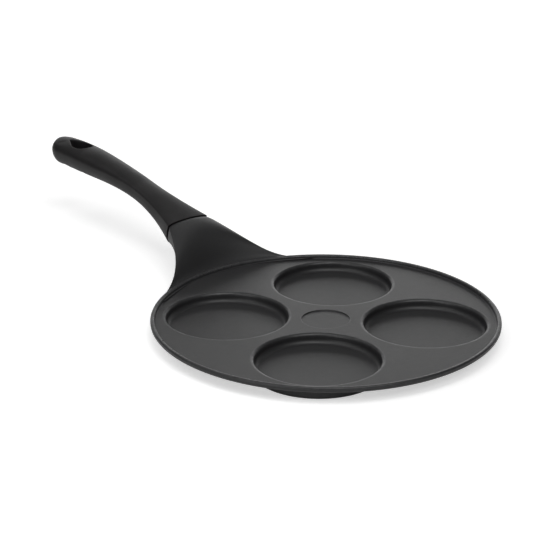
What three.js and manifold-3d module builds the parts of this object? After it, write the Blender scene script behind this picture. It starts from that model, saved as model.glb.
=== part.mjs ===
// Four-cup pan: a cast plate with four shallow cups, a low rim and a flared neck, a moulded grip on the
// neck's tang with the screw that holds it, and a steel disc pressed into the base of each cup.
// Millimetres, +Z up. The pan stands on z = 0, the handle points along +X, and the origin lies under the
// middle of the overall length.
import * as THREE from "three";
import { mergeVertices } from "three/addons/utils/BufferGeometryUtils.js";
import Module from "manifold-3d";

const wasm = await Module();
wasm.setup();

// Clearances between separate pieces
const FIT_GAP = 0.3;
const STACK_GAP = 0.1;

// Plate and rim
const PAN_DIAMETER = 260;
const PLATE_THICKNESS = 2.6;
const RIM_HEIGHT = 2.8;
const RIM_WIDTH = 3.4;
const RIM_FOOT_RADIUS = 1.0;
const RIM_EDGE_RADIUS = 1.4;
const RIM_UNDER_WIDTH = 6;
const RIM_UNDER_HEIGHT = 3.4;
const MEDALLION_DIAMETER = 36;
const MEDALLION_DEPTH = 0.8;

// Cups
const CUP_PITCH_RADIUS = 73.7;
const CUP_DIAMETER = 90.4;
const CUP_DEPTH = 7.5;
const CUP_FLOOR = 3;
const CUP_WALL = 2.8;
const CUP_LIP_RADIUS = 2.4;
const CUP_FLOOR_RADIUS = 3.5;
const CUP_BASE_RADIUS = 3;

// Base discs and the cast pegs that hold them
const DISC_DIAMETER = 72;
const DISC_THICKNESS = 0.8;
const PEG_DIAMETER = 6;
const PEG_RING_DIAMETER = 46;

// Seam between neck and grip: its centre, the tilt of the handle there, and the section: a low crown above
// its two corners and a full keel below them
const SEAM_REACH = 172;
const SEAM_RISE = 22;
const HANDLE_TILT = THREE.MathUtils.degToRad(19.4);
const SEAM_WIDTH = 39.2;
const SEAM_CORNER_LEVEL = 8.8;
const SEAM_CROWN = 3.4;
const SEAM_DEPTH = 22.3;
const SEAM_EDGE_THICKNESS = 0.5;
const SEAM_FULLNESS = 0.28;

// Neck: where its edges leave the rim, and how far its curves keep their end directions, as shares of
// the distance that each curve spans. At the seam the crest has a share of the grip's slope.
const NECK_ROOT_ANGLE = THREE.MathUtils.degToRad(39);
const NECK_ROOT_INSET = 0.4;
const NECK_SEAM_STEP = 0.35;
const NECK_EDGE_STEP = 1.1;
const NECK_CREST_STEP = 1.4;
const NECK_EDGE_THICKNESS = 1.2;
const NECK_EDGE_DIP = 0.13;
const NECK_EDGE_FLARE = 0.4;
const NECK_EDGE_PULL_RIM = 0.42;
const NECK_EDGE_PULL_SEAM = 0.58;
const NECK_CREST_RISE = THREE.MathUtils.degToRad(12);
const NECK_CREST_PULL_RIM = 0.22;
const NECK_CREST_PULL_SEAM = 0.6;
const NECK_CREST_SLOPE_SHARE = 0.25;

// Tang
const TANG_WIDTH = 15;
const TANG_THICKNESS = 7.5;
const TANG_LENGTH = 30;
const TANG_ROOT = 10;
const TANG_OFFSET = 2.2;
const TANG_CORNER_RADIUS = 1.5;

// Grip: the bend of its centre line, the place and section of its waist and of its bulge, and the place
// where the waist's corners have faded
const GRIP_LENGTH = 183;
const GRIP_BEND_RADIUS = 459;
const WAIST_PLACE = 60;
const WAIST_EASE = 1.8;
const WAIST_WIDTH = 21.6;
const WAIST_CORNER_LEVEL = 6;
const WAIST_CROWN = 3.8;
const WAIST_DEPTH = 13.1;
const WAIST_FULLNESS = 0.32;
const CORNER_FADE_PLACE = 123;
const BULGE_PLACE = 145;
const BULGE_WIDTH = 29.8;
const BULGE_CORNER_LEVEL = 2.1;
const BULGE_CROWN = 8.7;
const BULGE_DEPTH = 14.2;
const BULGE_FULLNESS = 0.5;

// End of the grip: its rounding in plan and in height, and the height that is left at the very end
const END_PLAN_RADIUS = 17;
const END_EDGE_RADIUS = 8;
const END_HEIGHT_SHARE = 0.6;

// Hanging slot: round towards the pan, straight at its sides, and tapered to a small tip
const SLOT_LENGTH = 26;
const SLOT_WIDTH = 15;
const SLOT_SIDE = 5;
const SLOT_TIP_RADIUS = 2.2;
const SLOT_END_DISTANCE = 19;

// Screw, washers and thread insert
const SCREW_REACH = 14;
const SCREW_DIAMETER = 4.8;
const SCREW_LENGTH = 11;
const HEAD_DIAMETER = 9.2;
const HEAD_HEIGHT = 2.7;
const DRIVE_WIDTH = 4.4;
const DRIVE_DEPTH = 1.3;
const WASHER_DIAMETER = 10;
const WASHER_THICKNESS = 1;
const SPRING_DIAMETER = 8.8;
const SPRING_THICKNESS = 1.2;
const INSERT_DIAMETER = 7.4;
const INSERT_GROOVE = 0.5;
const SCREW_WEB = 2.2;

// Levels and radii that follow from the sizes above
const PAN_RADIUS = PAN_DIAMETER / 2;
const CUP_RADIUS = CUP_DIAMETER / 2;
const PLATE_TOP = CUP_FLOOR + CUP_DEPTH;
const PLATE_UNDER = PLATE_TOP - PLATE_THICKNESS;
const RIM_TOP = PLATE_TOP + RIM_HEIGHT;
const CUPS = {
  near_left: -Math.PI / 4,
  near_right: Math.PI / 4,
  far_left: (-3 * Math.PI) / 4,
  far_right: (3 * Math.PI) / 4,
};

const COATING = { color: 0x2b2c2e, roughness: 0.5, metalness: 0.2 };
const PHENOLIC = { color: 0x19191b, roughness: 0.55, metalness: 0 };
const STEEL = { color: 0xb4b6b8, roughness: 0.35, metalness: 1 };
const BRASS = { color: 0xc09a4a, roughness: 0.4, metalness: 1 };

function solid(geometry) {
  const bare = geometry.clone();
  bare.deleteAttribute("normal");
  bare.deleteAttribute("uv");
  const merged = mergeVertices(bare, 1e-4);
  const vertProperties = new Float32Array(merged.attributes.position.array);
  const triVerts = new Uint32Array(merged.index.array);
  return new wasm.Manifold(new wasm.Mesh({ numProp: 3, vertProperties, triVerts }));
}

function geometryOf(manifold) {
  const mesh = manifold.getMesh();
  const geometry = new THREE.BufferGeometry();
  geometry.setAttribute("position", new THREE.BufferAttribute(mesh.vertProperties, 3));
  geometry.setIndex(new THREE.BufferAttribute(mesh.triVerts, 1));
  geometry.computeVertexNormals();
  return geometry;
}

function piece(name, geometry, look) {
  const mesh = new THREE.Mesh(geometry, new THREE.MeshStandardMaterial(look));
  mesh.name = name;
  return mesh;
}

// Points on an arc about (x, y), circular unless another radius is given for the height
function arc(x, y, radius, fromDegrees, toDegrees, steps, height = radius) {
  const points = [];
  for (let i = 0; i <= steps; i += 1) {
    const angle = THREE.MathUtils.degToRad(mix(fromDegrees, toDegrees, i / steps));
    points.push(point(x + radius * Math.cos(angle), y + height * Math.sin(angle)));
  }
  return points;
}

function point(x, y) {
  return new THREE.Vector2(x, y);
}

// Solid of revolution about Z from (radius, height) points that run counter-clockwise
function turned(points, segments) {
  return new THREE.LatheGeometry(points, segments).rotateX(Math.PI / 2);
}

function cylinder(radius, bottom, top, segments) {
  return turned([point(0, bottom), point(radius, bottom), point(radius, top), point(0, top)], segments);
}

function ring(inner, outer, bottom, top, segments) {
  const section = [point(inner, bottom), point(outer, bottom), point(outer, top), point(inner, top)];
  return turned([...section, section[0].clone()], segments);
}

// Closed skin over rings of equally many points, capped at both ends
function loft(rings) {
  const count = rings[0].length;
  const positions = [];
  const index = [];
  for (const loop of rings) {
    for (const p of loop) {
      positions.push(p.x, p.y, p.z);
    }
  }
  for (let i = 0; i + 1 < rings.length; i += 1) {
    for (let j = 0; j < count; j += 1) {
      const a = i * count + j;
      const b = i * count + ((j + 1) % count);
      index.push(a, b, a + count, b, b + count, a + count);
    }
  }
  const last = (rings.length - 1) * count;
  for (let j = 1; j + 1 < count; j += 1) {
    index.push(0, j + 1, j, last, last + j, last + j + 1);
  }
  const geometry = new THREE.BufferGeometry();
  geometry.setAttribute("position", new THREE.Float32BufferAttribute(positions, 3));
  geometry.setIndex(index);
  return geometry;
}

function extruded(shape, depth, curveSegments) {
  return new THREE.ExtrudeGeometry(shape, { depth, curveSegments, bevelEnabled: false });
}

// Bar along +X with a rounded rectangular section that is centred on y = 0 and on the given level
function bar(width, thickness, radius, level, from, to) {
  const w = width / 2 - radius;
  const h = thickness / 2 - radius;
  const shape = new THREE.Shape();
  shape.absarc(w, h, radius, 0, Math.PI / 2, false);
  shape.absarc(-w, h, radius, Math.PI / 2, Math.PI, false);
  shape.absarc(-w, -h, radius, Math.PI, 1.5 * Math.PI, false);
  shape.absarc(w, -h, radius, 1.5 * Math.PI, 2 * Math.PI, false);
  shape.closePath();
  const geometry = extruded(shape, to - from, 3);
  const turn = new THREE.Matrix4().makeBasis(
    new THREE.Vector3(0, 1, 0),
    new THREE.Vector3(0, 0, 1),
    new THREE.Vector3(1, 0, 0),
  );
  return geometry.applyMatrix4(turn).translate(from, 0, level);
}

function mix(a, b, share) {
  return a + (b - a) * share;
}

function blend(from, to, share) {
  return Object.fromEntries(Object.keys(from).map((key) => [key, mix(from[key], to[key], share)]));
}

// Frame of the seam: +X runs up along the handle, +Z stands square to it
const seamFrame = new THREE.Matrix4()
  .makeRotationY(-HANDLE_TILT)
  .setPosition(SEAM_REACH, 0, PLATE_TOP + SEAM_RISE);

function atSeam(y, z) {
  return new THREE.Vector3(0, y, z).applyMatrix4(seamFrame);
}

function plateAndRim() {
  const foot = Math.min(RIM_FOOT_RADIUS, RIM_HEIGHT / 2.5);
  const edge = Math.min(RIM_EDGE_RADIUS, RIM_HEIGHT / 2, RIM_WIDTH / 2.2);
  const under = Math.min(RIM_UNDER_HEIGHT, PLATE_THICKNESS + RIM_HEIGHT / 2);
  const wall = PAN_RADIUS - RIM_WIDTH;
  return turned(
    [
      point(0, PLATE_UNDER),
      ...arc(PAN_RADIUS - RIM_UNDER_WIDTH, PLATE_UNDER + under, RIM_UNDER_WIDTH, -90, 0, 3, under),
      ...arc(PAN_RADIUS - edge, RIM_TOP - edge, edge, 0, 90, 3),
      ...arc(wall + edge, RIM_TOP - edge, edge, 90, 180, 3),
      ...arc(wall - foot, PLATE_TOP + foot, foot, 0, -90, 2),
      point(0, PLATE_TOP),
    ],
    72,
  );
}

function cupShell() {
  const outer = CUP_RADIUS + CUP_WALL;
  const corner = Math.min(CUP_BASE_RADIUS, PLATE_UNDER / 2);
  const middle = (PLATE_UNDER + PLATE_TOP) / 2;
  return turned(
    [
      point(0, 0),
      ...arc(outer - corner, corner, corner, -90, 0, 2),
      point(outer, middle),
      point(0, middle),
    ],
    40,
  );
}

function cupHollow() {
  const floor = Math.min(CUP_FLOOR_RADIUS, CUP_DEPTH / 2);
  const lip = Math.min(CUP_LIP_RADIUS, CUP_DEPTH / 3, PLATE_THICKNESS);
  return turned(
    [
      point(0, CUP_FLOOR),
      ...arc(CUP_RADIUS - floor, CUP_FLOOR + floor, floor, -90, 0, 2),
      ...arc(CUP_RADIUS + lip, PLATE_TOP - lip, lip, 180, 90, 2),
      point(CUP_RADIUS + lip, RIM_TOP),
      point(0, RIM_TOP),
    ],
    40,
  );
}

// Centre peg and six around it, as cylinders of the given radius through the disc's thickness
function pegs(radius) {
  const places = [[0, 0]];
  for (let i = 0; i < 6; i += 1) {
    const angle = (i * Math.PI) / 3;
    places.push([(PEG_RING_DIAMETER / 2) * Math.cos(angle), (PEG_RING_DIAMETER / 2) * Math.sin(angle)]);
  }
  const peg = cylinder(radius, -1, DISC_THICKNESS + 1, 8);
  return places.map(([x, y]) => solid(peg).translate([x, y, 0])).reduce((all, one) => all.add(one));
}

// Section of the neck at share t of its length: an upper and a lower curve between its two edges. They stay
// close to arcs like the rim until near the seam, where they become the halves of its section. In height
// the lower curve fills out sooner than the upper one.
function neckSection(t, edge, top, bottom) {
  const thickness = mix(NECK_EDGE_THICKNESS, SEAM_EDGE_THICKNESS, t);
  const steps = 12;
  const loop = [];
  const follow = (across, level, target, rootPower, seamPower, share) => {
    const room = Math.max(0, 1 - across * across);
    const reach = room ** mix(rootPower, seamPower, t ** 4);
    const rise = room ** mix(rootPower, seamPower, share);
    loop.push(new THREE.Vector3(mix(edge.x, target.x, reach), across * edge.y, mix(level, target.z, rise)));
  };
  for (let i = 0; i <= steps; i += 1) {
    follow(Math.cos((Math.PI * i) / steps), edge.z, top, 1, 0.5, t ** 5);
  }
  for (let i = 0; i <= steps; i += 1) {
    follow(-Math.cos((Math.PI * i) / steps), edge.z - thickness, bottom, 1.4, SEAM_FULLNESS, t ** 3);
  }
  return loop;
}

// Cubic curve between two points that leaves each in a given direction, for a share of their distance
function swept(from, fromDirection, fromShare, to, toDirection, toShare) {
  const span = from.distanceTo(to);
  const leave = from.clone().addScaledVector(fromDirection.clone().normalize(), fromShare * span);
  const arrive = to.clone().addScaledVector(toDirection.clone().normalize(), toShare * span);
  return new THREE.CubicBezierCurve3(from, leave, arrive, to);
}

function neck() {
  const start = PAN_RADIUS - NECK_ROOT_INSET;
  const sine = Math.sin(NECK_ROOT_ANGLE);
  const cosine = Math.cos(NECK_ROOT_ANGLE);
  const down = new THREE.Vector3(-1, 0, 0).transformDirection(seamFrame);
  const edges = swept(
    new THREE.Vector3(start * cosine, start * sine, RIM_TOP - NECK_EDGE_STEP),
    new THREE.Vector3(sine, -cosine, -NECK_EDGE_DIP),
    NECK_EDGE_PULL_RIM,
    atSeam(SEAM_WIDTH / 2 - NECK_SEAM_STEP, SEAM_CORNER_LEVEL - NECK_SEAM_STEP),
    new THREE.Vector3(down.x, NECK_EDGE_FLARE, down.z),
    NECK_EDGE_PULL_SEAM,
  );
  const crest = swept(
    new THREE.Vector3(start, 0, RIM_TOP - NECK_CREST_STEP),
    new THREE.Vector3(Math.cos(NECK_CREST_RISE), 0, Math.sin(NECK_CREST_RISE)),
    NECK_CREST_PULL_RIM,
    atSeam(0, SEAM_CORNER_LEVEL + SEAM_CROWN - NECK_SEAM_STEP),
    new THREE.Vector3(down.x, 0, down.z * NECK_CREST_SLOPE_SHARE),
    NECK_CREST_PULL_SEAM,
  );
  const keel = new THREE.LineCurve3(
    new THREE.Vector3(start, 0, PLATE_TOP - NECK_CREST_STEP),
    atSeam(0, SEAM_CORNER_LEVEL - SEAM_DEPTH + NECK_SEAM_STEP),
  );
  const rings = [];
  for (let i = 0; i <= 16; i += 1) {
    const t = i / 16;
    rings.push(neckSection(t, edges.getPoint(t), crest.getPoint(t), keel.getPoint(t)));
  }
  return loft(rings);
}

function tang() {
  return bar(TANG_WIDTH, TANG_THICKNESS, TANG_CORNER_RADIUS, TANG_OFFSET, -TANG_ROOT, TANG_LENGTH);
}

function panBody() {
  let body = solid(plateAndRim());
  const shell = solid(cupShell());
  const hollow = solid(cupHollow());
  const recess = cylinder(DISC_DIAMETER / 2 + FIT_GAP, -1, DISC_THICKNESS, 40);
  const discSeat = solid(recess).subtract(pegs(PEG_DIAMETER / 2));
  const places = Object.values(CUPS).map((angle) => [
    CUP_PITCH_RADIUS * Math.cos(angle),
    CUP_PITCH_RADIUS * Math.sin(angle),
    0,
  ]);
  for (const place of places) {
    body = body.add(shell.translate(place));
  }
  body = body.add(solid(neck()));
  for (const place of places) {
    body = body.subtract(hollow.translate(place)).subtract(discSeat.translate(place));
  }
  body = body.subtract(solid(cylinder(MEDALLION_DIAMETER / 2, PLATE_TOP - MEDALLION_DEPTH, RIM_TOP, 36)));
  body = body.add(solid(tang().applyMatrix4(seamFrame)));
  const insertHole = cylinder(INSERT_DIAMETER / 2 + FIT_GAP, -TANG_THICKNESS, TANG_THICKNESS, 16);
  return body.subtract(solid(insertHole.translate(SCREW_REACH, 0, TANG_OFFSET).applyMatrix4(seamFrame)));
}

function baseDisc() {
  const disc = solid(cylinder(DISC_DIAMETER / 2, 0, DISC_THICKNESS, 40));
  return disc.subtract(pegs(PEG_DIAMETER / 2 + FIT_GAP));
}

// Section with two corners, a crown above them and a keel below them: half width, heights above and below
// the centre line, level of the corners, and power of the lower half
function section(width, corner, crown, depth, power) {
  return { half: width / 2, above: corner + crown, below: depth - corner, corner, power };
}

// Section of the grip at a distance along it
function gripSize(distance) {
  const seam = section(SEAM_WIDTH, SEAM_CORNER_LEVEL, SEAM_CROWN, SEAM_DEPTH, SEAM_FULLNESS);
  const waist = section(WAIST_WIDTH, WAIST_CORNER_LEVEL, WAIST_CROWN, WAIST_DEPTH, WAIST_FULLNESS);
  const bulge = section(BULGE_WIDTH, BULGE_CORNER_LEVEL, BULGE_CROWN, BULGE_DEPTH, BULGE_FULLNESS);
  if (distance < WAIST_PLACE) {
    return blend(seam, waist, 1 - (1 - distance / WAIST_PLACE) ** WAIST_EASE);
  }
  const fade = THREE.MathUtils.smoothstep(distance, WAIST_PLACE, CORNER_FADE_PLACE);
  const { corner, power } = blend(waist, bulge, fade);
  const swell = THREE.MathUtils.smoothstep(distance, WAIST_PLACE, BULGE_PLACE);
  return { ...blend(waist, bulge, swell), corner, power };
}

// Point at a distance along the grip's bent centre line, moved sideways and square to it
function onGrip(distance, side, height) {
  const angle = distance / GRIP_BEND_RADIUS;
  const reach = (GRIP_BEND_RADIUS + height) * Math.sin(angle);
  const level = (GRIP_BEND_RADIUS + height) * Math.cos(angle) - GRIP_BEND_RADIUS;
  return new THREE.Vector3(reach, side, level);
}

// Share of the full size that a rounding of the given length leaves at a distance along the grip
function rounding(distance, length) {
  const into = Math.max(0, distance - GRIP_LENGTH + length) / length;
  return Math.sqrt(1 - into * into);
}

function gripSection(distance) {
  const size = gripSize(distance);
  const narrow = rounding(distance, END_PLAN_RADIUS);
  const low = mix(END_HEIGHT_SHARE, 1, rounding(distance, END_EDGE_RADIUS));
  const steps = 26;
  const loop = [];
  for (let i = 0; i < steps; i += 1) {
    const angle = (2 * Math.PI * i) / steps;
    const sine = Math.sin(angle);
    const upper = size.corner + (size.above - size.corner) * sine;
    const lower = size.corner - (size.below + size.corner) * Math.abs(sine) ** (2 * size.power);
    loop.push(onGrip(distance, narrow * size.half * Math.cos(angle), low * (sine > 0 ? upper : lower)));
  }
  return loop;
}

function handleGrip() {
  const rings = [];
  const roundingStart = GRIP_LENGTH - END_PLAN_RADIUS;
  for (let i = 0; i <= 22; i += 1) {
    rings.push(gripSection(mix(FIT_GAP, roundingStart, i / 22)));
  }
  for (const degrees of [20, 38, 54, 67, 77, 85]) {
    const along = Math.sin(THREE.MathUtils.degToRad(degrees));
    rings.push(gripSection(mix(roundingStart, GRIP_LENGTH, along)));
  }
  let grip = solid(loft(rings));
  const socket = bar(
    TANG_WIDTH + 2 * FIT_GAP,
    TANG_THICKNESS + 2 * FIT_GAP,
    TANG_CORNER_RADIUS,
    TANG_OFFSET,
    -1,
    TANG_LENGTH + FIT_GAP,
  );
  grip = grip.subtract(solid(socket));
  const screwHole = cylinder(SCREW_DIAMETER / 2 + FIT_GAP, -SEAM_DEPTH, TANG_OFFSET, 16);
  const counterbore = cylinder(WASHER_DIAMETER / 2 + FIT_GAP, -2 * SEAM_DEPTH, counterboreFloor, 20);
  grip = grip.subtract(solid(screwHole.translate(SCREW_REACH, 0, 0)));
  grip = grip.subtract(solid(counterbore.translate(SCREW_REACH, 0, 0)));
  return grip.subtract(solid(hangingSlot()));
}

function hangingSlot() {
  const radius = SLOT_WIDTH / 2;
  const tip = SLOT_LENGTH - radius - SLOT_TIP_RADIUS;
  const taper = Math.asin((radius - SLOT_TIP_RADIUS) / (tip - SLOT_SIDE));
  const square = Math.PI / 2;
  const shape = new THREE.Shape();
  shape.absarc(0, 0, radius, square, 3 * square, false);
  shape.absarc(SLOT_SIDE, 0, radius, -square, taper - square, false);
  shape.absarc(tip, 0, SLOT_TIP_RADIUS, taper - square, square - taper, false);
  shape.absarc(SLOT_SIDE, 0, radius, square - taper, square, false);
  shape.closePath();
  const start = GRIP_LENGTH - SLOT_END_DISTANCE - SLOT_LENGTH + radius;
  const middle = start + SLOT_SIDE;
  const place = onGrip(middle, 0, 0);
  return extruded(shape, 2 * BULGE_WIDTH, 8)
    .translate(-SLOT_SIDE, 0, -BULGE_WIDTH)
    .rotateY(middle / GRIP_BEND_RADIUS)
    .translate(place.x, place.y, place.z);
}

// Levels of the screw stack below the grip's web, in the seam's frame
const counterboreFloor = TANG_OFFSET - TANG_THICKNESS / 2 - FIT_GAP - SCREW_WEB;
const washerLevel = counterboreFloor - STACK_GAP - WASHER_THICKNESS;
const springLevel = washerLevel - STACK_GAP - SPRING_THICKNESS;
const headLevel = springLevel - STACK_GAP - HEAD_HEIGHT;

function handleScrew() {
  const shank = SCREW_DIAMETER / 2;
  const head = HEAD_DIAMETER / 2;
  const dome = HEAD_HEIGHT / 2.5;
  const seat = headLevel + HEAD_HEIGHT;
  const tip = seat + SCREW_LENGTH;
  const chamfer = shank / 4;
  const body = turned(
    [
      point(0, headLevel),
      point(head - dome, headLevel),
      ...arc(head - dome, headLevel + dome, dome, -60, 0, 2),
      point(head, seat),
      point(shank, seat),
      point(shank, tip - chamfer),
      point(shank - chamfer, tip),
      point(0, tip),
    ],
    16,
  );
  const blade = new THREE.BoxGeometry(DRIVE_WIDTH, DRIVE_WIDTH / 5, 2 * DRIVE_DEPTH);
  blade.translate(0, 0, headLevel);
  return solid(body)
    .subtract(solid(blade))
    .subtract(solid(blade.clone().rotateZ(Math.PI / 2)));
}

function springWasher() {
  const inner = SCREW_DIAMETER / 2 + FIT_GAP;
  const whole = ring(inner, SPRING_DIAMETER / 2, springLevel, springLevel + SPRING_THICKNESS, 20);
  const split = new THREE.BoxGeometry(SPRING_DIAMETER, SPRING_THICKNESS / 2, 4 * SPRING_THICKNESS);
  split.rotateX(Math.PI / 6).translate(SPRING_DIAMETER / 2, 0, springLevel + SPRING_THICKNESS / 2);
  return solid(whole).subtract(solid(split));
}

function flatWasher() {
  const inner = SCREW_DIAMETER / 2 + FIT_GAP;
  return ring(inner, WASHER_DIAMETER / 2, washerLevel, washerLevel + WASHER_THICKNESS, 20);
}

function threadInsert() {
  const inner = SCREW_DIAMETER / 2 + FIT_GAP;
  const outer = INSERT_DIAMETER / 2;
  const half = TANG_THICKNESS / 2;
  const band = TANG_THICKNESS / 8;
  const section = [
    point(inner, -half),
    point(outer, -half),
    point(outer, -band),
    point(outer - INSERT_GROOVE, -band),
    point(outer - INSERT_GROOVE, band),
    point(outer, band),
    point(outer, half),
    point(inner, half),
    point(inner, -half),
  ];
  return turned(section, 16).translate(0, 0, TANG_OFFSET);
}

const part = new THREE.Group();
part.name = "four_cup_pan";

const pan = new THREE.Group();
pan.name = "pan";
pan.add(piece("pan_body", geometryOf(panBody()), COATING));
for (const [name, angle] of Object.entries(CUPS)) {
  const disc = piece(`base_disc_${name}`, geometryOf(baseDisc()), STEEL);
  disc.position.set(CUP_PITCH_RADIUS * Math.cos(angle), CUP_PITCH_RADIUS * Math.sin(angle), 0);
  pan.add(disc);
}

const handle = new THREE.Group();
handle.name = "handle";
handle.applyMatrix4(seamFrame);
handle.add(piece("handle_grip", geometryOf(handleGrip()), PHENOLIC));

const fixing = new THREE.Group();
fixing.name = "fixing";
fixing.position.x = SCREW_REACH;
fixing.add(piece("handle_screw", geometryOf(handleScrew()), STEEL));
fixing.add(piece("spring_washer", geometryOf(springWasher()), STEEL));
fixing.add(piece("flat_washer", flatWasher(), STEEL));
fixing.add(piece("thread_insert", threadInsert(), BRASS));
handle.add(fixing);
pan.add(handle);

const extent = new THREE.Box3().setFromObject(pan, true);
pan.position.x = -(extent.min.x + extent.max.x) / 2;
part.add(pan);

export default part;
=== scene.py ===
"""Four-cup pan with a fixed handle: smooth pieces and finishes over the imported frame."""

import math

import bmesh
import bpy
from bpy.props import FloatProperty, FloatVectorProperty, PointerProperty
from bpy.types import Operator, Panel, PropertyGroup
from mathutils import Matrix, Vector
from mathutils.geometry import interpolate_bezier


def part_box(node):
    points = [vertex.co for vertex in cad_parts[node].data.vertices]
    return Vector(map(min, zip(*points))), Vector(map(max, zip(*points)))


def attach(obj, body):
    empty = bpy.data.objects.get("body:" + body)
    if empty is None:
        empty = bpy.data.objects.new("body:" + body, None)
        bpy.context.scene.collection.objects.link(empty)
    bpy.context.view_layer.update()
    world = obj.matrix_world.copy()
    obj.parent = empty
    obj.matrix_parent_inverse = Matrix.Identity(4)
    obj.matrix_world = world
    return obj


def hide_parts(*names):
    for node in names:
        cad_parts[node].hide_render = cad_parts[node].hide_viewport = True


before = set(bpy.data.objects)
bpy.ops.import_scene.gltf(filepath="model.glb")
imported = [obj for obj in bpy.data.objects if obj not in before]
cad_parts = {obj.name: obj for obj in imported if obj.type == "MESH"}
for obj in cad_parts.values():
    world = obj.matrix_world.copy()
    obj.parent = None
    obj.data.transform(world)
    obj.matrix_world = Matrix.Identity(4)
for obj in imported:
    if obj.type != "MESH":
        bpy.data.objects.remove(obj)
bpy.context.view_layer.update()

bl_info = {
    "name": "Four-cup pan",
    "version": (1, 0, 0),
    "blender": (4, 5, 0),
    "location": "3D View > Sidebar > Four-cup pan",
    "description": "Models a four-cup pan with its handle, finishes and studio stage",
    "category": "Object",
}

# Soft panels of light: azimuth, elevation, width and height in degrees, and brightness
PANELS = {
    "rear_left": (335, 14, 30, 24, 1.3),
    "rear": (308, 14, 26, 24, 1.7),
    "rear_right": (282, 14, 26, 24, 0.7),
    "rear_top": (318, 58, 60, 22, 0.9),
    "front_right": (166, 42, 40, 16, 3.6),
    "front_left": (106, 42, 14, 16, 4.0),
    "front_low": (104, 16, 30, 22, 2.0),
    "left_high": (50, 54, 70, 26, 1.2),
    "top_front": (150, 66, 70, 20, 4.3),
}

CUP_ANGLES = {
    "near_left": math.radians(-45),
    "near_right": math.radians(45),
    "far_left": math.radians(-135),
    "far_right": math.radians(135),
}

# Lengths in metres that only the meshes need
MERGE = 1e-6
STRIP = 0.0008
SMALL_EDGE = 0.0003
PLATE_FILLET = 0.0010
PEG_SINK = 0.0002
TANG_EDGE = 0.0015
TANG_ROOT = 0.010
BORE_WEB = 0.0022
CUTTER_LEAD = 0.001
SEAM_STRIP = 0.0005
SLOT_MARGIN = 0.0055
DISC_BEVEL = 0.00015
HEAD_CHAMFER = 0.0002
BLADE_EDGE = 0.0001
WASHER_STACK = {"gaps": 0.0003, "flat_washer": 0.0010, "spring_washer": 0.0012}
FLOOR_RADIUS = 9.0

# Points round each shape, and rings along it
RIM_STEPS = 208
CUP_STEPS = 120
RECESS_STEPS = 72
SCREW_STEPS = 64
PEG_STEPS = 32
HOLE_STEPS = 48
FLOOR_STEPS = 96
NECK_STEPS = 18
NECK_RINGS = 21
GRIP_STEPS = 48
GRIP_RINGS = 28
SLOT_RINGS = 12
SLOT_STEPS = 5

# Neck's section: powers at the rim and at the seam, and how late along the neck they change over
CREST_POWERS = (1.0, 0.5)
CREST_DELAY = 5
KEEL_RIM_POWER = 1.4
KEEL_DELAY = 3
REACH_DELAY = 4

# Neck's rounded end: shares back to the ring before it and in towards the seam's middle
NECK_END = ((0.8, 0.0), (0.36, 0.010), (0.04, 0.045), (0.0, 0.16))

# Neck's start inside the rim, as a share of its distance from the pan's middle
NECK_ROOT = 0.99

# Grip's rings on its rounded end, in degrees of the rounding, and how far its seam face is drawn in
END_TURNS = (26, 38, 49, 59, 68, 76, 82, 87)
SEAM_FACE = 0.05

# Flat strip round the slot, as a share of the slot's rounding
SLOT_STRIP = 1.35

PEGS_ROUND = 6

# Edges that turn more than this keep a crease
SHARP_ANGLE = math.radians(35)

# The floor's glow grows between two distances in metres, and the sensor is in millimetres
GLOW_NEAR, GLOW_FAR = 0.6, 2.2
SENSOR_WIDTH = 36.0
WHITE = (1.0, 1.0, 1.0)


def maker(kind, convert, **settings):
    """Makes properties of one kind, with their defaults converted to Blender's units."""

    def make(name, description, default):
        return kind(name=name, description=description, default=convert(default), **settings)

    return make


# Lengths in millimetres, angles in degrees, places in metres and colours as linear values
length = maker(
    FloatProperty, lambda mm: mm / 1000, precision=5, subtype="DISTANCE", unit="LENGTH"
)
angle = maker(FloatProperty, math.radians, subtype="ANGLE", unit="ROTATION")
share = maker(FloatProperty, float, min=0, max=2, subtype="FACTOR")
lens = maker(FloatProperty, float, subtype="DISTANCE_CAMERA", unit="CAMERA")
location = maker(FloatVectorProperty, tuple, precision=5, subtype="TRANSLATION", unit="LENGTH")
colour = maker(FloatVectorProperty, tuple, min=0, max=1, size=3, subtype="COLOR")


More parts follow.
